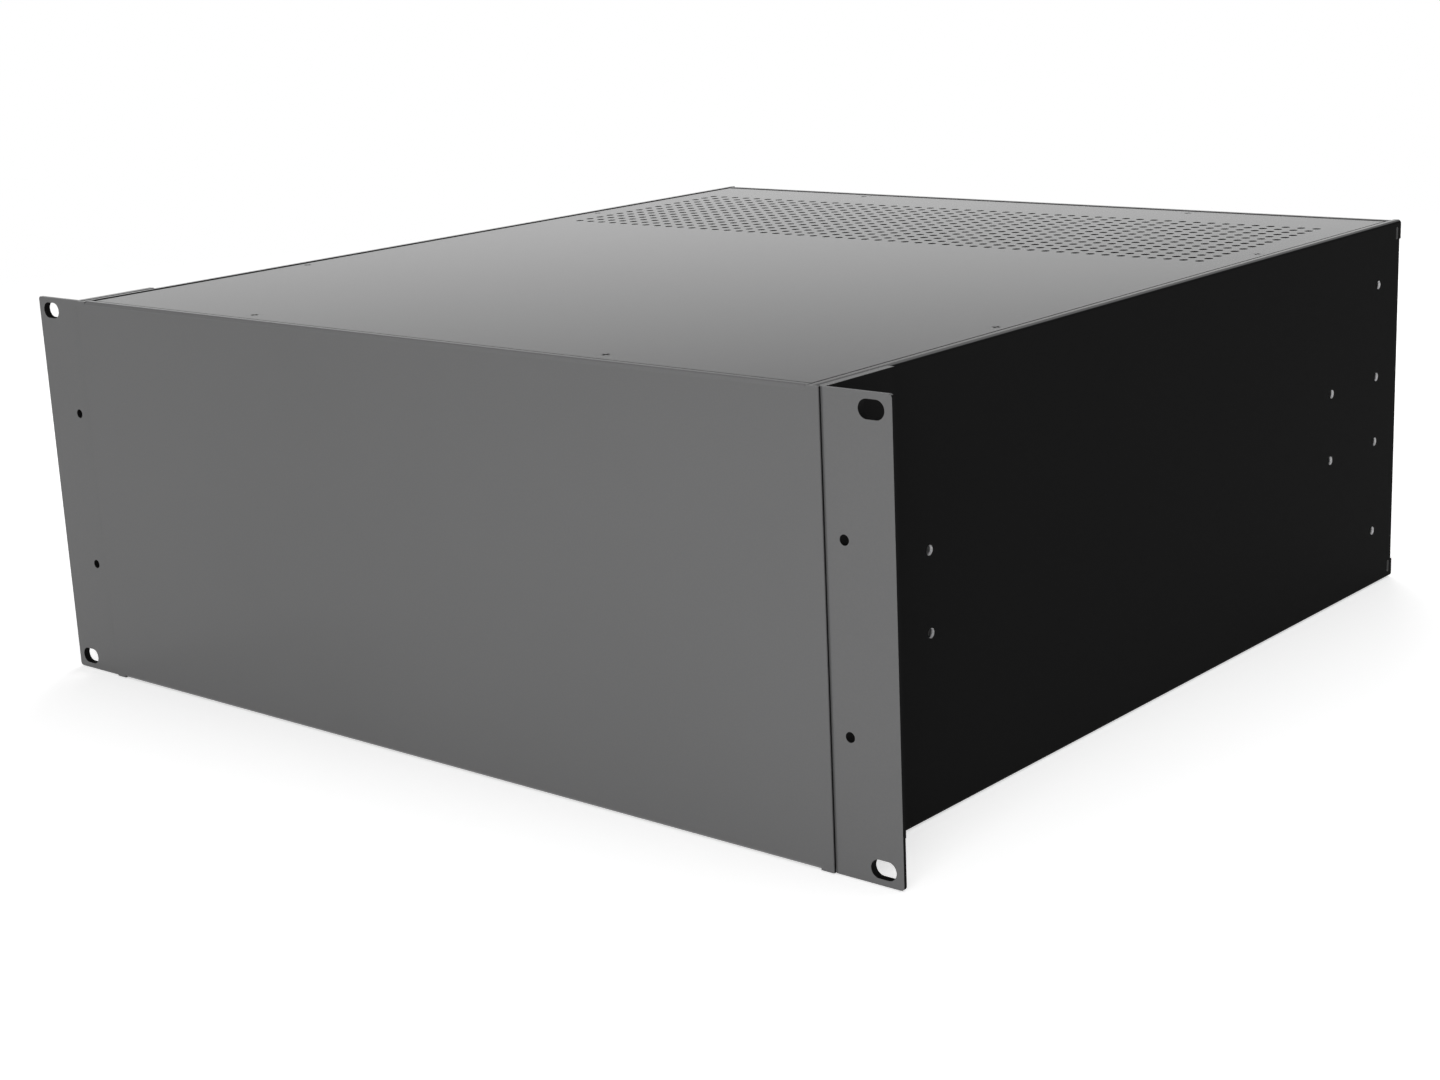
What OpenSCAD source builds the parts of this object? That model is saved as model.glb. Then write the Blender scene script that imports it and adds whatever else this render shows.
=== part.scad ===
// Rackmount chassis of folded sheet steel, four units high, with inset covers and a vented top
// The origin is at the middle of the underside. The front faces -Y, +X is right seen from the front, Z is up

/* [Rack size] */
// Height in rack units
rack_units = 4; // [4:1:7]
// Height of one rack unit
unit_h = 44.45; // [44.4:0.05:44.5]
// Height left free so that neighbours in the rack don't touch
height_gap = 0.8; // [0.4:0.1:1.6]
// Width of the body over its side walls
body_w = 419.1; // [400:0.1:424]
// Depth from the front face to the rear edge
depth = 457.2; // [380:0.1:600]

/* [Sheet metal] */
// Thickness of the side walls and the rear panel
wall_t = 1.2; // [1:0.1:1.6]
// Thickness of the front panel
front_t = 1.2; // [0.8:0.1:1.6]
// Thickness of the top and bottom covers
cover_t = 1.2; // [1:0.1:1.6]
// Thickness of the rack ears
ear_t = 1.5; // [1:0.1:2.5]
// Inside radius of the folds in the walls and panels
fold_r = 0.5; // [0.3:0.1:1.2]
// Width of the rim around each cover, from the outside face
rim_w = 3.7; // [3.6:0.1:7]
// Width of the ledges under the covers
ledge_w = 14; // [13:0.5:18]
// Width of the upright flanges at the front and rear of the side walls
flange_w = 18; // [16:0.5:26]
// Height left free above and below those flanges
corner_h = 9; // [8:0.5:14]
// Gap between a cover and the rim around it
cover_gap = 1.7; // [0.5:0.1:2]
// Depth of a cover's face below the rim around it
cover_drop = 0.3; // [0.1:0.1:1]
// Gap between folded edges that pass each other
edge_gap = 0.5; // [0.2:0.1:1]

/* [Rack ears] */
// Length of the leg along the side wall, from the front face
leg_l = 41.7; // [34:0.1:60]
// Width of each ear, from the side wall to the outer edge
ear_w = 31.75; // [28:0.05:40]
// Inside radius of the ear's fold
ear_fold_r = 1.5; // [0.5:0.1:3]
// Gap between the front panel's side edge and the ear's fold
ear_gap = 0.1; // [0.05:0.05:0.5]
// Radius of the ear's outer corners
ear_corner_r = 1.5; // [1:0.1:4]
// Thickness of the backing angle welded into each ear
angle_t = 1.6; // [0.8:0.1:2.5]
// Distance from the ear's outer edge to the backing angle
angle_edge = 1.6; // [1:0.1:2.2]
// Distance from the ear's top and bottom to the flat of the backing angle
angle_end = 1; // [0.5:0.1:1.6]
// Length of a rack slot
slot_l = 11.1; // [9:0.1:12]
// Width of a rack slot
slot_w = 7.1; // [6.4:0.1:7.6]
// Distance from the ear's outer edge to the middle of a slot
slot_inset = 8.75; // [8:0.05:10]
// Distance between the outer rack holes of one unit
unit_hole_pitch = 31.75; // [31.7:0.05:31.8]
// Diameter of the handle holes
handle_d = 4; // [3:0.1:5]
// Distance from the side wall to the handle holes
handle_x = 10.05; // [7:0.05:16]
// Distance between the two handle holes of one ear
handle_pitch = 71.4; // [60:0.1:120]
// Distance from the front face to the ear screws
ear_screw_y = 24; // [16:0.5:26]
// Distance from the top and bottom to the first and last ear screw
ear_screw_end = 28; // [12:0.5:36]
// Number of screws in each ear
ear_screw_n = 4; // [2:1:6]

/* [Slide holes] */
// Diameter of the holes in the side walls
slide_d = 4; // [3:0.1:5]
// Distance between the two holes of a pair
slide_pitch = 31.75; // [25:0.05:40]
// Distance from the front face to the front pair
slide_front = 64.7; // [56:0.1:90]
// Distance from the rear edge to the inner rear pair
slide_rear = 69.5; // [60:0.1:120]
// Distance from the rear edge to the rearmost holes
support_rear = 22.9; // [21:0.1:40]
// Distance from the top and bottom to the outermost rear holes
support_end = 28.2; // [20:0.1:40]
// Length of the relief slots at the rear corners
relief_l = 6; // [4:0.1:7]
// Width of the relief slots
relief_w = 2; // [1:0.1:2.4]
// Distance from the rear edge to the relief slots
relief_rear = 4.2; // [3.6:0.1:8]

/* [Vents] */
// Diameter of a vent hole
vent_d = 3.97; // [2:0.01:5]
// Distance between vent holes, both ways
vent_pitch = 7.94; // [6:0.01:12]
// Number of rows from front to rear
vent_rows = 15; // [4:1:20]
// Distance from the rear edge to the last row
vent_rear = 42; // [36:0.1:80]
// Least distance from the cover's side edge to a vent hole's middle
vent_side = 17; // [16.5:0.1:60]

/* [Cover screws] */
// Diameter of the screws
screw_d = 3.5; // [3:0.1:4]
// Diameter of their flat heads
head_d = 7.1; // [6.4:0.1:7.6]
// Length of the screws
screw_l = 7; // [6:0.1:9]
// Distance from the middle to the front and rear screws
end_screw_x = 101.6; // [40:0.1:160]
// Distance from the front and rear edges to those screws
end_screw_y = 12.7; // [12:0.1:14]
// Distance from the outside face to the side screws
side_screw_x = 10; // [9.6:0.1:12]
// Distance from the front and rear edges to the side screws
side_screw_y = 125.2; // [40:0.1:170]
// Clearance round a screw head in its seat
seat_gap = 0.05; // [0.02:0.01:0.2]
// Clearance round a screw in a plain hole, on the radius
hole_gap = 0.25; // [0.1:0.05:0.5]
// Clearance between a screw and the thread that holds it, on the radius
thread_gap = 0.05; // [0.02:0.01:0.1]
// Diameter of the clinch nuts
clinch_d = 7.6; // [6.8:0.1:8.4]
// Height of the clinch nuts
clinch_h = 3; // [2:0.1:3.4]

/* [Panel fasteners] */
// Distance from the outside face to the studs and the rear screws
flange_hole_x = 10.5; // [9.5:0.1:12]
// Distance from the ends of a flange to its first and last fastener
flange_hole_end = 20; // [8:0.5:40]
// Number of fasteners in each flange
flange_hole_n = 3; // [2:1:5]
// Diameter of the studs and the ear screws
stud_d = 4; // [3:0.1:5]
// Length of the studs
stud_l = 9; // [8:0.1:14]
// Outside diameter of the washers
washer_d = 8; // [7.2:0.1:9]
// Thickness of the washers
washer_t = 0.8; // [0.5:0.1:1]
// Width across the flats of the nuts
nut_af = 7; // [6.4:0.1:8]
// Height of the nuts
nut_h = 3.2; // [2:0.1:4]
// Diameter of the ear screws' round heads
round_head_d = 7.6; // [7:0.1:9]
// Height of the round heads
round_head_h = 2.2; // [1.6:0.1:3]
// Length of the ear screws under the head
ear_screw_l = 10; // [8:0.1:12]

/* [Hidden] */
$fn = 48;

grey_paint = [0.44, 0.44, 0.45];
black_paint = [0.1, 0.1, 0.105];
zinc = [0.72, 0.72, 0.7];

// Extra length of every cut
over = 0.5;
// Length by which a fold runs on into the flats that it joins
lap = 3;
// Depth by which welded sheets run into each other
weld = 0.2;

// Outer limits
height = rack_units * unit_h - height_gap;
side_x = body_w / 2;
front_y = -depth / 2;
rear_y = depth / 2;
// Front end of the side walls, and outside face of the rear panel
wall_y = front_y + front_t;
back_y = rear_y - wall_t;
// Front face of the ears, where the panel's edge just clears the fold
ear_bend = fold_out(ear_t, ear_fold_r);
ear_y = wall_y + ear_gap - ear_bend + sqrt(pow(ear_bend, 2) - pow(ear_fold_r, 2));
// Thickness of the ears where the backing angle doubles them
ear_full_t = ear_t + angle_t;

// Covers, inside the rims, with the depth of their seats
seat_h = cover_drop + cover_t;
cover_z = height - cover_drop;
cover_x = side_x - rim_w - cover_gap;
cover_y0 = front_y + rim_w + cover_gap;
cover_y1 = back_y - rim_w - cover_gap;
// Half the length of the front and rear rims, which end close to the side rims
rim_x = side_x - rim_w - edge_gap;
vent_cols = floor(2 * (cover_x - vent_side) / vent_pitch) + 1;

// Side ledges end short of the front and rear ledges
ledge_y0 = front_y + rim_w + ledge_w + edge_gap;
ledge_y1 = back_y - rim_w - ledge_w - edge_gap;

// Flat head under a seat of 45 degrees, and its recess
head_h = (head_d - screw_d) / 2;
ledge_hole_d = max(head_d - 2 * cover_t, screw_d) + 2 * hole_gap;
recess_l = head_d * 0.55;
recess_w = head_d * 0.13;
recess_h = head_h * 0.7;
socket_af = round_head_d * 0.33;
socket_h = round_head_h * 0.6;
lead_in = 0.6;

// Each cover screw as [x, y, thickness of the ledge under it]
cover_screws = [
  for (sx = [-1, 1]) [sx * end_screw_x, front_y + end_screw_y, front_t],
  for (sx = [-1, 1]) [sx * end_screw_x, rear_y - end_screw_y, wall_t],
  for (sx = [-1, 1], sy = [-1, 1]) [sx * (side_x - side_screw_x), sy * (rear_y - side_screw_y), wall_t]
];
flange_holes_z = spread(corner_h + flange_hole_end, height - corner_h - flange_hole_end, flange_hole_n);
ear_screws_z = spread(ear_screw_end, height - ear_screw_end, ear_screw_n);
slot_pitch_z = (rack_units - 1) * unit_h + unit_hole_pitch;

function spread(first, last, count) = [for (i = [0 : count - 1]) first + (last - first) * i / (count - 1)];
function fold_out(t, r = fold_r) = r + t;

// Placing helpers: a flat section drawn across an axis, run along that axis

module along_x(x0, x1) {
  translate([x0, 0, 0])
    rotate([90, 0, 90])
      linear_extrude(x1 - x0)
        children();
}

module along_y(y0, y1) {
  translate([0, y1, 0])
    rotate([90, 0, 0])
      linear_extrude(y1 - y0)
        children();
}

module along_z(z0, z1) {
  translate([0, 0, z0])
    linear_extrude(z1 - z0)
      children();
}

// A section drawn inward and down from an outside edge, at the top edge and at the bottom edge
module at_both_rims(face, inward) {
  for (top = [0, 1])
    translate([face, top * height])
      mirror([inward < 0 ? 1 : 0, 0])
        mirror([0, top])
          children();
}

module left_of() {
  mirror([1, 0, 0])
    children();
}

module both_sides() {
  children();
  left_of()
    children();
}

module upside_down() {
  translate([0, 0, height])
    mirror([0, 0, 1])
      children();
}

// Sections of folded sheet

// Quarter fold that joins a sheet on the Y axis to a sheet on the X axis, with the start of that first sheet
module fold_2d(t, inside = fold_r) {
  r = fold_out(t, inside);
  translate([0, r])
    square([t, lap]);
  translate([r, r])
    rotate(180)
      intersection() {
        difference() {
          circle(r = r);
          circle(r = inside);
        }
        square(r);
      }
}

// Rim with its step down to the ledge
module rim_2d(t) {
  fold_2d(t);
  translate([fold_out(t), 0])
    square([rim_w - fold_out(t), t]);
  translate([rim_w - t, 0])
    square([t, seat_h + t]);
}

module ledge_2d(t) {
  translate([rim_w - t, seat_h])
    square([t + ledge_w, t]);
}

// Upright flange with the fold that joins it to its wall
module flange_2d() {
  fold_2d(wall_t);
  translate([fold_out(wall_t), 0])
    square([flange_w - fold_out(wall_t), wall_t]);
}

// Cutters and fasteners

// Seat for a flat head at the origin, opening upward
module head_seat() {
  rotate_extrude()
    polygon([
      [0, over],
      [head_d / 2 + seat_gap + over, over],
      [screw_d / 2 + seat_gap, -head_h],
      [screw_d / 2 + seat_gap, -head_h - screw_l],
      [0, -head_h - screw_l]
    ]);
}

// Flat head screw with its face at the origin, pointing down
module flat_screw() {
  difference() {
    rotate_extrude()
      polygon([[0, 0], [head_d / 2, 0], [screw_d / 2, -head_h], [screw_d / 2, -screw_l], [0, -screw_l]]);
    for (a = [0, 90])
      rotate(a)
        translate([-recess_l / 2, -recess_w / 2, -recess_h])
          cube([recess_l, recess_w, recess_h + over]);
  }
}

// Round nut that hangs down from the origin, with a lead-in at its mouth
module clinch_nut() {
  bore_r = screw_d / 2 + thread_gap;
  rotate_extrude()
    polygon([
      [bore_r + lead_in, 0],
      [clinch_d / 2, 0],
      [clinch_d / 2, -clinch_h],
      [bore_r, -clinch_h],
      [bore_r, -lead_in]
    ]);
}

// Round head screw with the underside of its head at the origin, pointing down
module round_screw() {
  rim_h = round_head_h / 2;
  top_r = round_head_d * 0.32;
  difference() {
    rotate_extrude()
      polygon([
        [0, round_head_h],
        [top_r, round_head_h],
        [round_head_d / 2, rim_h],
        [round_head_d / 2, 0],
        [stud_d / 2, 0],
        [stud_d / 2, -ear_screw_l],
        [0, -ear_screw_l]
      ]);
    translate([0, 0, round_head_h - socket_h])
      cylinder(d = socket_af / cos(30), h = socket_h + over, $fn = 6);
  }
}

// Hexagon nut that hangs down from the origin
module hex_nut() {
  translate([0, 0, -nut_h])
    difference() {
      cylinder(d = nut_af / cos(30), h = nut_h, $fn = 6);
      translate([0, 0, -over])
        cylinder(d = stud_d + 2 * thread_gap, h = nut_h + 2 * over);
    }
}

// Places of the fasteners

module at_cover_screws() {
  for (s = cover_screws)
    translate([s.x, s.y, cover_z])
      children();
}

// Fastener axes in the front flanges, pointing to the rear from the front panel's back
module at_studs() {
  for (sx = [-1, 1], z = flange_holes_z)
    translate([sx * (side_x - flange_hole_x), wall_y, z])
      rotate([90, 0, 0])
        children();
}

// Fastener axes in the rear flanges, pointing to the front from the rear edge
module at_rear_screws() {
  for (sx = [-1, 1], z = flange_holes_z)
    translate([sx * (side_x - flange_hole_x), rear_y, z])
      rotate([-90, 0, 0])
        children();
}

// Fastener axes in the right ear, pointing inward from the leg's outside face
module at_ear_screws() {
  for (z = ear_screws_z)
    translate([side_x + ear_full_t, front_y + ear_screw_y, z])
      rotate([0, 90, 0])
        children();
}

module bore(d) {
  translate([0, 0, -2 * stud_l])
    cylinder(d = d, h = 4 * stud_l);
}

// Sheet parts

module front_panel() {
  color(grey_paint)
    difference() {
      union() {
        // Flat face, full height only beside the folded edges
        along_y(front_y, wall_y)
          difference() {
            translate([-side_x - ear_t, 0])
              square([body_w + 2 * ear_t, height]);
            for (z = [-over, height - fold_out(front_t)])
              translate([-rim_x, z])
                square([2 * rim_x, fold_out(front_t) + over]);
          }
        along_x(-rim_x, rim_x)
          at_both_rims(front_y, 1) {
            rim_2d(front_t);
            ledge_2d(front_t);
          }
      }
      ledge_holes();
    }
}

module ledge_holes() {
  for (s = cover_screws)
    translate([s.x, s.y, -over])
      cylinder(d = ledge_hole_d, h = height + 2 * over);
}

module side_wall() {
  difference() {
    union() {
      difference() {
        along_y(wall_y, rear_y) {
          translate([side_x - wall_t, fold_out(wall_t)])
            square([wall_t, height - 2 * fold_out(wall_t)]);
          at_both_rims(side_x, -1)
            rim_2d(wall_t);
        }
        // The wall stops short where the upright flanges fold
        for (y = [wall_y - over, rear_y - fold_out(wall_t)])
          translate([side_x - wall_t - over, y, corner_h])
            cube([wall_t + 2 * over, fold_out(wall_t) + over, height - 2 * corner_h]);
      }
      along_y(ledge_y0, ledge_y1)
        at_both_rims(side_x, -1)
          ledge_2d(wall_t);
      along_z(corner_h, height - corner_h) {
        translate([side_x, wall_y])
          mirror([1, 0])
            flange_2d();
        translate([side_x, rear_y])
          rotate(180)
            flange_2d();
      }
    }
    ledge_holes();
    slide_holes();
    relief_slots();
    at_studs()
      bore(stud_d + 2 * hole_gap);
    at_rear_screws()
      head_seat();
    at_ear_screws()
      bore(stud_d + 2 * hole_gap);
  }
}

module slide_holes() {
  middle = height / 2;
  pair = [middle - slide_pitch / 2, middle + slide_pitch / 2];
  holes = [
    for (z = pair) [front_y + slide_front, z],
    for (z = pair) [rear_y - slide_rear, z],
    for (z = concat(pair, [support_end, height - support_end])) [rear_y - support_rear, z]
  ];
  for (p = holes)
    translate([side_x - wall_t - over, p.x, p.y])
      rotate([0, 90, 0])
        cylinder(d = slide_d, h = wall_t + 2 * over);
}

module relief_slots() {
  for (z = [corner_h - relief_l, height - corner_h])
    along_x(side_x - wall_t - over, side_x + over)
      for (e = [relief_w / 2, relief_l - relief_w / 2]) {
        translate([rear_y - relief_rear, z + e])
          circle(d = relief_w);
        translate([rear_y - relief_rear - relief_w / 2, z + relief_w / 2])
          square([relief_w, relief_l - relief_w]);
      }
}

module right_side_wall() {
  color(black_paint)
    side_wall();
}

module left_side_wall() {
  color(black_paint)
    left_of()
      side_wall();
}

module rack_ear() {
  difference() {
    union() {
      along_y(ear_y, ear_y + ear_t)
        ear_plate_2d();
      along_y(ear_y + ear_t - weld, ear_y + ear_full_t)
        angle_flat_2d();
      along_z(0, height)
        translate([side_x, ear_y]) {
          fold_2d(ear_t, ear_fold_r);
          translate([0, ear_bend])
            square([ear_full_t, front_y + leg_l - ear_y - ear_bend]);
          translate([ear_bend, 0])
            square([lap, ear_t]);
          angle_corner_2d();
        }
    }
    along_y(ear_y - over, ear_y + ear_full_t + over)
      ear_holes_2d();
    at_ear_screws()
      bore(stud_d + 2 * hole_gap);
  }
}

// Flat of the ear, with its outer corners rounded
module ear_plate_2d() {
  edge = side_x + ear_w;
  inner = side_x + ear_bend;
  r = ear_corner_r;
  translate([inner, 0])
    square([edge - r - inner, height]);
  translate([inner, r])
    square([edge - inner, height - 2 * r]);
  for (z = [r, height - r])
    translate([edge - r, z])
      circle(r = r);
}

// Flat of the backing angle, behind the ear's own
module angle_flat_2d() {
  inner = side_x + ear_bend;
  translate([inner, angle_end])
    square([side_x + ear_w - angle_edge - inner, height - 2 * angle_end]);
}

// Corner of the backing angle, which fills the inside of the ear's fold
module angle_corner_2d() {
  r = ear_fold_r + weld;
  translate([ear_bend, ear_bend])
    rotate(180)
      intersection() {
        difference() {
          circle(r = r);
          if (ear_fold_r > angle_t) circle(r = ear_fold_r - angle_t);
        }
        square(r);
      }
}

module ear_holes_2d() {
  for (sz = [-1, 1]) {
    translate([side_x + ear_w - slot_inset, height / 2 + sz * slot_pitch_z / 2])
      rack_slot_2d();
    translate([side_x + handle_x, height / 2 + sz * handle_pitch / 2])
      circle(d = handle_d);
  }
}

module rack_slot_2d() {
  straight = slot_l - slot_w;
  square([straight, slot_w], center = true);
  for (sx = [-1, 1])
    translate([sx * straight / 2, 0])
      circle(d = slot_w);
}

module right_rack_ear() {
  color(grey_paint)
    rack_ear();
}

module left_rack_ear() {
  color(grey_paint)
    left_of()
      rack_ear();
}

module rear_panel() {
  tab_x = side_x - wall_t - edge_gap;
  color(black_paint)
    difference() {
      union() {
        along_y(back_y - wall_t, back_y) {
          translate([-rim_x, fold_out(wall_t)])
            square([2 * rim_x, height - 2 * fold_out(wall_t)]);
          translate([-tab_x, corner_h])
            square([2 * tab_x, height - 2 * corner_h]);
        }
        along_x(-rim_x, rim_x)
          at_both_rims(back_y, -1) {
            rim_2d(wall_t);
            ledge_2d(wall_t);
          }
      }
      ledge_holes();
      at_rear_screws()
        bore(max(head_d - 2 * wall_t, screw_d) + 2 * hole_gap);
    }
}

module cover(vented) {
  difference() {
    along_z(cover_z - cover_t, cover_z)
      difference() {
        translate([-cover_x, cover_y0])
          square([2 * cover_x, cover_y1 - cover_y0]);
        if (vented)
          vent_field_2d();
      }
    at_cover_screws()
      head_seat();
  }
}

module vent_field_2d() {
  for (c = [0 : vent_cols - 1], r = [0 : vent_rows - 1])
    translate([(c - (vent_cols - 1) / 2) * vent_pitch, rear_y - vent_rear - r * vent_pitch])
      circle(d = vent_d, $fn = 24);
}

module top_cover() {
  color(grey_paint)
    cover(true);
}

module bottom_cover() {
  color(grey_paint)
    upside_down()
      cover(false);
}

// Fasteners in groups

module cover_nuts() {
  for (s = cover_screws)
    translate([s.x, s.y, cover_z - cover_t - s.z])
      clinch_nut();
}

module top_cover_screws() {
  color(zinc)
    at_cover_screws()
      flat_screw();
}

module bottom_cover_screws() {
  color(zinc)
    upside_down()
      at_cover_screws()
        flat_screw();
}

module top_cover_nuts() {
  color(zinc)
    cover_nuts();
}

module bottom_cover_nuts() {
  color(zinc)
    upside_down()
      cover_nuts();
}

module rear_panel_screws() {
  color(zinc)
    at_rear_screws()
      flat_screw();
}

module rear_panel_nuts() {
  color(zinc)
    at_rear_screws()
      translate([0, 0, -2 * wall_t])
        clinch_nut();
}

module front_panel_studs() {
  color(zinc)
    at_studs()
      translate([0, 0, -stud_l])
        cylinder(d = stud_d, h = stud_l);
}

module front_panel_washers() {
  color(zinc)
    at_studs()
      translate([0, 0, -wall_t - washer_t])
        difference() {
          cylinder(d = washer_d, h = washer_t);
          translate([0, 0, -over])
            cylinder(d = stud_d + 2 * hole_gap, h = washer_t + 2 * over);
        }
}

module front_panel_nuts() {
  color(zinc)
    at_studs()
      translate([0, 0, -wall_t - washer_t])
        hex_nut();
}

module ear_nuts() {
  at_ear_screws()
    translate([0, 0, -ear_full_t - wall_t])
      hex_nut();
}

module right_ear_screws() {
  color(zinc)
    at_ear_screws()
      round_screw();
}

module left_ear_screws() {
  color(zinc)
    left_of()
      at_ear_screws()
        round_screw();
}

module right_ear_nuts() {
  color(zinc)
    ear_nuts();
}

module left_ear_nuts() {
  color(zinc)
    left_of()
      ear_nuts();
}

front_panel();
right_side_wall();
left_side_wall();
right_rack_ear();
left_rack_ear();
rear_panel();
top_cover();
bottom_cover();
top_cover_screws();
bottom_cover_screws();
top_cover_nuts();
bottom_cover_nuts();
rear_panel_screws();
rear_panel_nuts();
front_panel_studs();
front_panel_washers();
front_panel_nuts();
right_ear_screws();
left_ear_screws();
right_ear_nuts();
left_ear_nuts();
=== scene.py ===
import math

import bpy
from mathutils import Matrix, Vector


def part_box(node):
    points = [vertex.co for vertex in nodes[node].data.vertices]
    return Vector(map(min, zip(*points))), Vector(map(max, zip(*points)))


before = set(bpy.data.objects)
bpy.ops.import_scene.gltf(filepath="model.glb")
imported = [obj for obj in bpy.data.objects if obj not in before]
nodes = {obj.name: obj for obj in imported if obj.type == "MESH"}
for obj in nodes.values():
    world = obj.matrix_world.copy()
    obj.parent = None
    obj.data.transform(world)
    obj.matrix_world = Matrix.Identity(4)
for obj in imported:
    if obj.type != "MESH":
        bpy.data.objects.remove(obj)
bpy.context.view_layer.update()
print("frame loaded:", len(nodes), "sheets and sets of fasteners")


# one socket of a shader, so that masks and tones are written as sums
class Wire:
    def __init__(self, finish, socket):
        self.finish = finish
        self.socket = socket

    def maths(self, how, first, second=None):
        values = {0: first} if second is None else {0: first, 1: second}
        return self.finish.add("ShaderNodeMath", {"operation": how}, values)

    def __add__(self, other):
        return self.maths("ADD", self, other)

    def __radd__(self, other):
        return self.maths("ADD", other, self)

    def __sub__(self, other):
        return self.maths("SUBTRACT", self, other)

    def __rsub__(self, other):
        return self.maths("SUBTRACT", other, self)

    def __mul__(self, other):
        return self.maths("MULTIPLY", self, other)

    def __rmul__(self, other):
        return self.maths("MULTIPLY", other, self)

    def __abs__(self):
        return self.maths("ABSOLUTE", self)

    # another output of the same node
    def out(self, name):
        return Wire(self.finish, self.socket.node.outputs[name])

    # the larger of two masks
    def either(self, other):
        return self.maths("MAXIMUM", self, other)

    # noise about its middle, which is a half, with this much between its ends
    def swing(self, size):
        return (self - 0.5) * size

    # 0 below low, 1 above high, smooth between
    def step(self, low, high):
        return self.finish.add("ShaderNodeMapRange", {"interpolation_type": "SMOOTHSTEP"},
                               {"Value": self, "From Min": low, "From Max": high})

    # 1 from low to high, 0 outside
    def between(self, low, high, soft=0.0001):
        return self.step(low - soft, low + soft) * (1.0 - self.step(high - soft, high + soft))


# one material or surround, with one method that makes any node
class Finish:
    def __init__(self, block):
        block.use_nodes = True
        self.block = block
        self.tree = block.node_tree
        self.tree.nodes.clear()

    def add(self, kind, settings=None, values=None):
        node = self.tree.nodes.new(kind)
        for key, value in (settings or {}).items():
            setattr(node, key, value)
        for key, value in (values or {}).items():
            if isinstance(value, Wire):
                self.tree.links.new(value.socket, node.inputs[key])
            else:
                node.inputs[key].default_value = value
        sockets = [socket for socket in node.outputs if socket.enabled]
        return Wire(self, sockets[0]) if sockets else None

    # a tone that varies, with its blue a little up or down
    def grey(self, tone, blue):
        return self.add("ShaderNodeCombineColor", None, {0: tone, 1: tone, 2: tone * blue})

    def noise(self, place, scale, detail):
        return self.add("ShaderNodeTexNoise", None, {"Vector": place, "Scale": scale, "Detail": detail})

    # 1 for what the camera sees straight, in a mirror and through glass
    def rays(self):
        path = self.add("ShaderNodeLightPath")
        return [path.out(name) for name in ("Is Camera Ray", "Is Glossy Ray", "Is Transmission Ray")]

    def mix(self, mask, under, over):
        return self.add("ShaderNodeMixShader", None, {0: mask, 1: under, 2: over})

    def close(self, shader):
        self.add("ShaderNodeOutputMaterial", None, {"Surface": shader})
        return self.block


# share of a face's normal along an axis, from where it starts to count to where it counts in full
faceLimits = {"square": (0.62, 0.78), "towards": (0.5, 0.6)}


# where a point of a sheet is, and which way its face looks
class Face:
    def __init__(self, finish):
        coords = finish.add("ShaderNodeTexCoord")
        self.place = coords.out("Object")
        looks = finish.add("ShaderNodeSeparateXYZ", None, {0: coords.out("Normal")})
        spot = finish.add("ShaderNodeSeparateXYZ", None, {0: self.place})
        self.looksX, self.looksY, self.looksZ = (looks.out(axis) for axis in "XYZ")
        self.x, self.y, self.z = (spot.out(axis) for axis in "XYZ")

    # 1 where the face is square to an axis, either way round
    def square(self, axis):
        return abs(axis).step(*faceLimits["square"])

    # 1 where the face looks along an axis, one way only
    def towards(self, axis, way):
        return (way * axis).step(*faceLimits["towards"])

    # 1 half way round a fold that runs from side to side, where the product is a half; the painted
    # highlight on folds follows it
    def fold(self):
        return abs(self.looksY * self.looksZ) * 2.0


# camera at the photo's viewing angle, found from its straight edges
cameraView = {
    "place": (0.703307, -0.854028, 0.333871),
    "azimuth": 40.753, "elevation": 14.723, "roll": -2.57,
    "focalPixels": 2391.113, "imageWidth": 1440.0, "filmWidth": 36.0,
    "nearest": 0.01, "farthest": 60.0,
}


def makeCamera(view):
    data = bpy.data.cameras.new("camera")
    data.sensor_fit = "HORIZONTAL"
    data.sensor_width = view["filmWidth"]
    data.lens = view["focalPixels"] / view["imageWidth"] * view["filmWidth"]
    data.clip_start = view["nearest"]
    data.clip_end = view["farthest"]
    camera = bpy.data.objects.new("camera", data)
    bpy.context.scene.collection.objects.link(camera)
    azimuth, elevation, roll = (math.radians(view[key]) for key in ("azimuth", "elevation", "roll"))
    back = Vector((math.sin(azimuth) * math.cos(elevation),
                   -math.cos(azimuth) * math.cos(elevation),
                   math.sin(elevation)))
    right = Vector((math.cos(azimuth), math.sin(azimuth), 0.0))
    up = back.cross(right)
    tiltedRight = math.cos(roll) * right + math.sin(roll) * up
    tiltedUp = math.cos(roll) * up - math.sin(roll) * right
    turn = Matrix((tiltedRight, tiltedUp, back)).transposed()
    camera.matrix_world = Matrix.Translation(view["place"]) @ turn.to_4x4()
    bpy.context.scene.camera = camera


makeCamera(cameraView)
print("camera set")


# a tone that is the same all over
def flatGrey(tone):
    return (tone, tone, tone, 1.0)


# pale floor that fades into the white surround
floorLook = {
    "radius": 2.6, "segments": 96, "below": 0.0004,
    "tone": 0.94, "roughness": 0.8, "gloss": 0.0, "lift": 0.5,
    "fadeFrom": 0.6, "fadeTo": 1.6,
}


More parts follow.
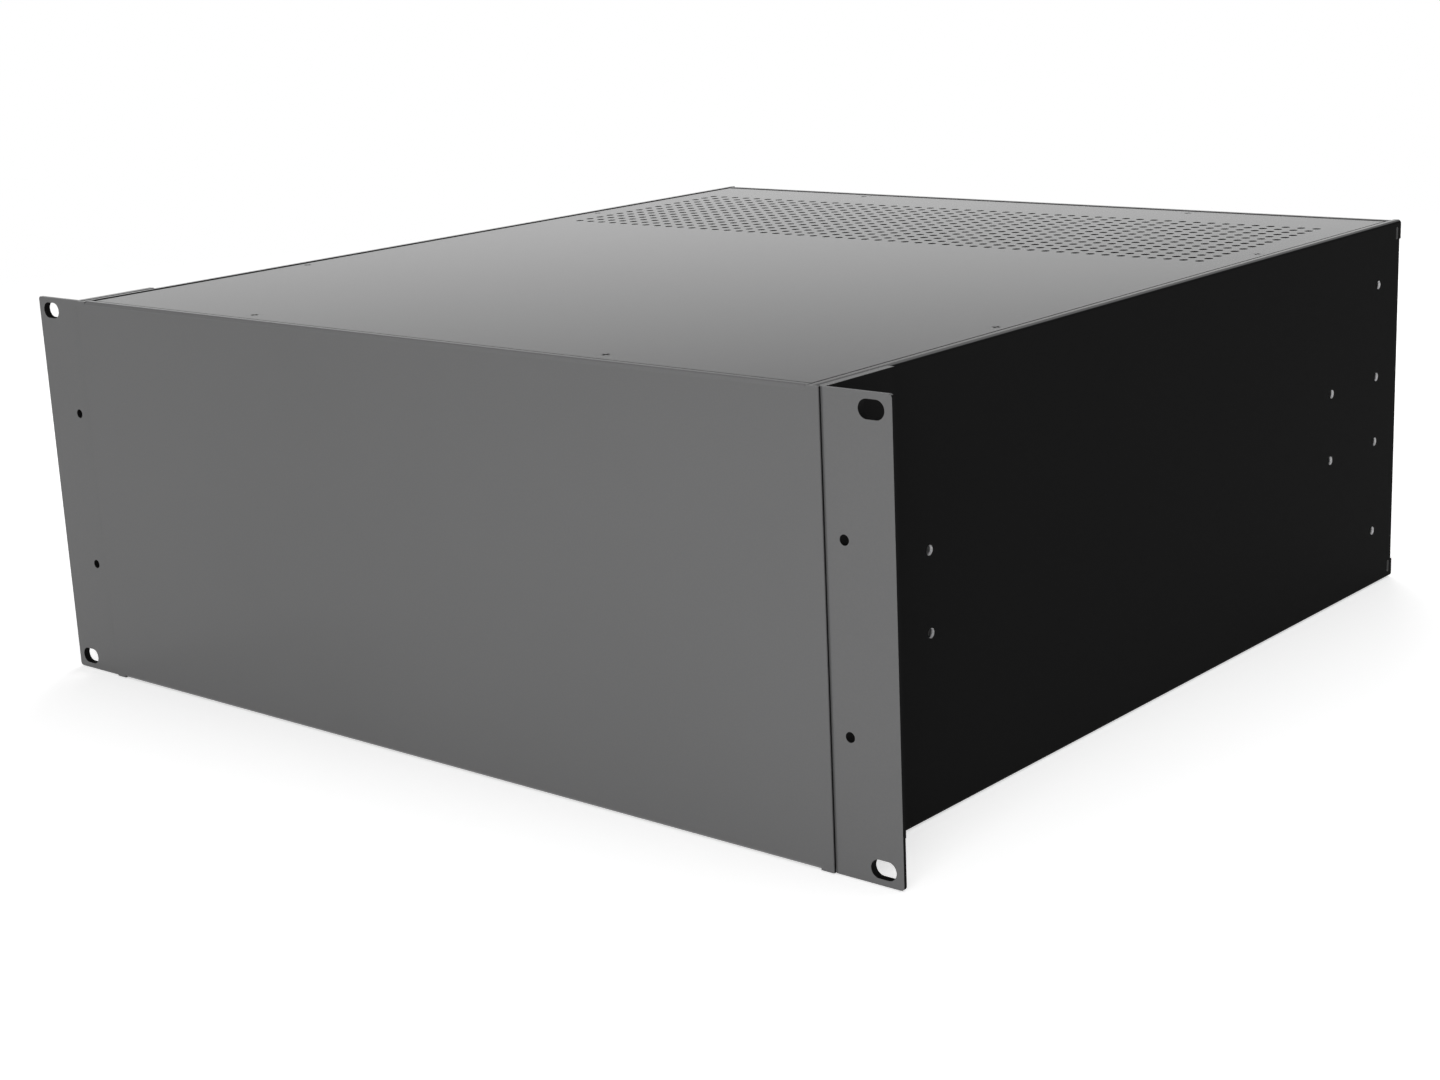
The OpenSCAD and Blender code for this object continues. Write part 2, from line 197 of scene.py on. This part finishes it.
def floorPaper(look):
    paper = Finish(bpy.data.materials.new("floorPaper"))
    place = paper.add("ShaderNodeTexCoord").out("Object")
    distance = paper.add("ShaderNodeVectorMath", {"operation": "LENGTH"}, {0: place}).out("Value")
    matt = {"Base Color": flatGrey(look["tone"]), "Roughness": look["roughness"],
            "Specular IOR Level": look["gloss"]}
    lifted = {**matt, "Emission Color": flatGrey(1.0), "Emission Strength": look["lift"]}
    plain = paper.add("ShaderNodeBsdfPrincipled", None, matt)
    pale = paper.add("ShaderNodeBsdfPrincipled", None, lifted)
    straight, mirrored, through = paper.rays()
    sheet = paper.mix(straight.either(mirrored).either(through), plain, pale)
    clear = paper.add("ShaderNodeBsdfTransparent")
    fade = distance.step(look["fadeFrom"], look["fadeTo"])
    return paper.close(paper.mix(fade, sheet, clear))


def makeFloor(look):
    angles = [2.0 * math.pi * turn / look["segments"] for turn in range(look["segments"])]
    rim = [(look["radius"] * math.cos(angle), look["radius"] * math.sin(angle), 0.0) for angle in angles]
    mesh = bpy.data.meshes.new("floor")
    mesh.from_pydata(rim, [], [list(range(len(rim)))])
    mesh.materials.append(floorPaper(look))
    floor = bpy.data.objects.new("floor", mesh)
    floor.location.z = -look["below"]
    bpy.context.scene.collection.objects.link(floor)


# large soft lamps that neither the camera nor a mirror sees
lampSet = [
    {"name": "overheadLamp", "at": (0.0, 0.3, 2.0), "aim": (0.0, 0.0, 0.1), "size": (2.4, 2.0),
     "watts": 15.0},
    {"name": "frontLamp", "at": (0.75, -1.2, 0.45), "aim": (0.0, -0.1, 0.1), "size": (1.0, 0.7),
     "watts": 9.5},
    {"name": "rearLamp", "at": (-0.75, 1.2, 0.45), "aim": (0.0, 0.1, 0.1), "size": (1.0, 0.7),
     "watts": 9.5},
]


def makeLamps(lamps):
    for lamp in lamps:
        data = bpy.data.lights.new(lamp["name"], "AREA")
        data.shape = "RECTANGLE"
        data.size, data.size_y = lamp["size"]
        data.energy = lamp["watts"]
        light = bpy.data.objects.new(lamp["name"], data)
        light.location = lamp["at"]
        light.visible_camera = False
        light.visible_glossy = False
        aim = Vector(lamp["aim"]) - Vector(lamp["at"])
        light.rotation_euler = aim.to_track_quat("-Z", "Y").to_euler()
        bpy.context.scene.collection.objects.link(light)


# surround with softer light overhead, white all over to the camera and round the horizon in a mirror
surround = {"horizon": 1.0, "overhead": 0.25, "fadeFrom": 0.09, "fadeTo": 0.235}


def makeSurround(look):
    sky = Finish(bpy.data.worlds.new("surround"))
    direction = sky.add("ShaderNodeTexCoord").out("Generated")
    up = sky.add("ShaderNodeSeparateXYZ", None, {0: direction}).out("Z")
    low = 1.0 - up.step(look["fadeFrom"], look["fadeTo"])
    level = look["overhead"] + low * (look["horizon"] - look["overhead"])
    straight, mirrored, through = sky.rays()
    strength = level.either(straight.either(through).either(mirrored * low))
    glow = sky.add("ShaderNodeBackground", None, {"Color": flatGrey(1.0), "Strength": strength})
    sky.add("ShaderNodeOutputWorld", None, {"Surface": glow})
    bpy.context.scene.world = sky.block


makeFloor(floorLook)
makeLamps(lampSet)
makeSurround(surround)
print("floor and light set")

# powder coat on the steel sheets: the grain that both colours share, then the grey coat and a near-black
# copy of it that is painted shade on faces that look sideways
coatGrain = {
    "grainScale": 1500.0, "grainDetail": 2.0, "grainDepth": 0.000012, "speckle": 0.1, "roughSpread": 0.12,
    "waveScale": 260.0, "waveDetail": 1.0, "waveDepth": 0.000012,
    "cloudScale": 7.0, "cloudDetail": 3.0, "cloud": 0.1,
    "bump": 0.6, "blue": 1.01,
}
# the fold setting is a painted highlight that lightens the coat half way round each fold
greyCoat = {**coatGrain, "tone": 0.12, "roughness": 0.12, "gloss": 0.25, "foldHighlight": 0.3}
paintedShadeCoat = {**coatGrain, "tone": 0.0075, "roughness": 0.6, "gloss": 0.012, "foldHighlight": 0.0}


def powderCoat(finish, face, look):
    grain = finish.noise(face.place, look["grainScale"], look["grainDetail"])
    wave = finish.noise(face.place, look["waveScale"], look["waveDetail"])
    cloud = finish.noise(face.place, look["cloudScale"], look["cloudDetail"])
    shade = 1.0 + cloud.swing(look["cloud"]) + grain.swing(look["speckle"])
    # painted highlight, lighter half way round each fold
    if look["foldHighlight"]:
        shade = shade + face.fold() * look["foldHighlight"]
    height = grain * look["grainDepth"] + wave * look["waveDepth"]
    bump = finish.add("ShaderNodeBump", None, {"Strength": look["bump"], "Distance": 1.0, "Height": height})
    return finish.add("ShaderNodeBsdfPrincipled", None, {
        "Base Color": finish.grey(shade * look["tone"], look["blue"]),
        "Roughness": look["roughness"] + grain.swing(look["roughSpread"]),
        "Specular IOR Level": look["gloss"],
        "Normal": bump,
    })


# painted shade: a black copy of the coat over the grey one, where the mask says
def coatWithPaintedShade(finish, face, black):
    return finish.mix(black, powderCoat(finish, face, greyCoat), powderCoat(finish, face, paintedShadeCoat))


# bare zinc sheet on the inside
bareSteel = {"tone": 0.8, "metal": 0.3, "roughness": 0.42, "roughSpread": 0.16,
             "flakeScale": 110.0, "flake": 0.22, "blue": 1.01}


def zincSheet(finish, place, look):
    flakes = finish.add("ShaderNodeTexVoronoi", {"feature": "F1"},
                        {"Vector": place, "Scale": look["flakeScale"]})
    tint = finish.add("ShaderNodeSeparateColor", None, {0: flakes.out("Color")})
    return finish.add("ShaderNodeBsdfPrincipled", None, {
        "Base Color": finish.grey(look["tone"] * (1.0 + tint.swing(look["flake"])), look["blue"]),
        "Metallic": look["metal"],
        "Roughness": look["roughness"] + tint.swing(look["roughSpread"]),
    })


# painted shade, black round a cover's cut edge and down the walls of its holes
def coverShade(face, low, high):
    return 1.0 - face.square(face.looksZ)


# bare steel on the face of a cover that looks into the chassis
def underCover(face, low, high):
    return face.towards(face.looksZ, -1.0)


def overBase(face, low, high):
    return face.towards(face.looksZ, 1.0)


# how far the grey wraps round the front panel's sides, and a depth that holds a panel's sheet
panelMarks = {"wrap": (0.0004, 0.0006), "sheet": 0.002}


# painted shade, black on the front panel's side edges, behind the grey that wraps round them
def panelEdgeShade(face, low, high):
    wrapFrom, wrapTo = panelMarks["wrap"]
    return face.square(face.looksX) * face.y.step(low.y + wrapFrom, low.y + wrapTo)


# painted shade, black on the rear, grey on the rims and on the steps that look forward
def rearShade(face, low, high):
    return (1.0 - face.square(face.looksZ)) * (1.0 - face.towards(face.looksY, -1.0))


# bare steel on the face of a panel that looks into the chassis
def behindFront(face, low, high):
    return face.towards(face.looksY, 1.0) * face.y.between(low.y, low.y + panelMarks["sheet"])


def beforeRear(face, low, high):
    return face.towards(face.looksY, -1.0) * face.y.between(high.y - panelMarks["sheet"], high.y)


# length at the top and bottom of an ear that counts as its ends
earMarks = {"ends": 0.0004}


# painted shade, black on the edges, in the slots and along the leg, grey on the front, back and ends
def earEdgeShade(face, low, high):
    middle = face.z.between(low.z + earMarks["ends"], high.z - earMarks["ends"])
    ends = face.square(face.looksZ) * (1.0 - middle)
    return (1.0 - face.square(face.looksY)) * (1.0 - ends)


wallMarks = {
    "foldTilt": (0.02, 0.1), "punchedTilt": (0.25, 0.4),  # shares of the normal along an axis
    "bareEdge": (0.4, 0.6),  # range of the mask over which bare steel starts
    "legFade": 0.0002, "slotsFrom": 0.0065, "slotsTo": 0.0025,  # lengths before the leg's end and the rear
    "sheet": 0.0016, "ends": 0.008, "rims": 0.0025,  # lengths in from the outside, ends and rims
}


# painted shade, black all round the wall, grey along its rims, in its rear slots and over the folds beside
# the ear's leg
def wallShade(face, low, high):
    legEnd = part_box("right_rack_ear")[1].y
    besideLeg = 1.0 - face.y.step(legEnd - wallMarks["legFade"], legEnd)
    rim = face.square(face.looksZ)
    fold = abs(face.looksZ).step(*wallMarks["foldTilt"]) * besideLeg
    atSlots = face.y.between(high.y - wallMarks["slotsFrom"], high.y - wallMarks["slotsTo"])
    slots = (1.0 - face.square(face.looksX)) * atSlots
    return 1.0 - rim.either(fold).either(slots)


# bare steel inside the wall; bare steel on the walls of its punched holes, except where they look sideways,
# is a painted highlight
def insideWall(face, low, high):
    way = 1.0 if high.x > 0.0 else -1.0
    outside = max(abs(low.x), abs(high.x))
    sheet = (face.x * way).between(outside - wallMarks["sheet"], outside)
    # painted highlight: light bare steel on hole walls that don't look sideways
    punched = 1.0 - abs(face.looksX).step(*wallMarks["punchedTilt"])
    punched = punched * face.y.between(low.y + wallMarks["ends"], high.y - wallMarks["ends"])
    punched = punched * face.z.between(low.z + wallMarks["rims"], high.z - wallMarks["rims"])
    return sheet * (face.towards(face.looksX, -way) + punched).step(*wallMarks["bareEdge"])


# where each sheet carries painted shade in black, and where it is bare
sheetFaces = {
    "front_panel": (panelEdgeShade, behindFront),
    "top_cover": (coverShade, underCover),
    "bottom_cover": (coverShade, overBase),
    "right_rack_ear": (earEdgeShade, None),
    "left_rack_ear": (earEdgeShade, None),
    "right_side_wall": (wallShade, insideWall),
    "left_side_wall": (wallShade, insideWall),
    "rear_panel": (rearShade, beforeRear),
}


def sheetFinish(name, dark, bare):
    finish = Finish(bpy.data.materials.new(name + "Coat"))
    face = Face(finish)
    low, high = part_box(name)
    # the grey coat, with painted shade in black where the sheet's mask says
    skin = coatWithPaintedShade(finish, face, dark(face, low, high))
    if bare:
        skin = finish.mix(bare(face, low, high), skin, zincSheet(finish, face.place, bareSteel))
    return finish.close(skin)


# plated steel of the studs, washers, nuts, ear screws and rear panel screws
plating = {
    "tone": 0.5, "metal": 0.9, "roughness": 0.36, "roughSpread": 0.2, "bump": 0.4, "blue": 0.98,
    "brushScale": 2600.0, "brushDetail": 3.0, "brushDepth": 0.00001,
    "stainScale": 240.0, "stainDetail": 2.0, "stain": 0.3,
}


def platedFinish(look):
    finish = Finish(bpy.data.materials.new("zincPlating"))
    place = finish.add("ShaderNodeTexCoord").out("Object")
    brush = finish.noise(place, look["brushScale"], look["brushDetail"])
    stain = finish.noise(place, look["stainScale"], look["stainDetail"])
    bump = finish.add("ShaderNodeBump", None, {
        "Strength": look["bump"], "Distance": 1.0, "Height": brush * look["brushDepth"]})
    return finish.close(finish.add("ShaderNodeBsdfPrincipled", None, {
        "Base Color": finish.grey(look["tone"] * (1.0 + stain.swing(look["stain"])), look["blue"]),
        "Metallic": look["metal"],
        "Roughness": look["roughness"] + brush.swing(look["roughSpread"]),
        "Normal": bump,
    }))


# cover screws painted with the cover, with painted shade in their recesses
def screwFinish():
    finish = Finish(bpy.data.materials.new("paintedScrews"))
    face = Face(finish)
    return finish.close(coatWithPaintedShade(finish, face, 1.0 - face.square(face.looksZ)))


def dressNodes():
    plated = platedFinish(plating)
    painted = screwFinish()
    for name, node in nodes.items():
        if name in sheetFaces:
            coat = sheetFinish(name, *sheetFaces[name])
        else:
            coat = painted if "cover_screws" in name else plated
        node.data.materials.clear()
        node.data.materials.append(coat)


dressNodes()
print("finishes set on", len(nodes), "nodes")

bpy.context.scene.view_settings.view_transform = "Standard"
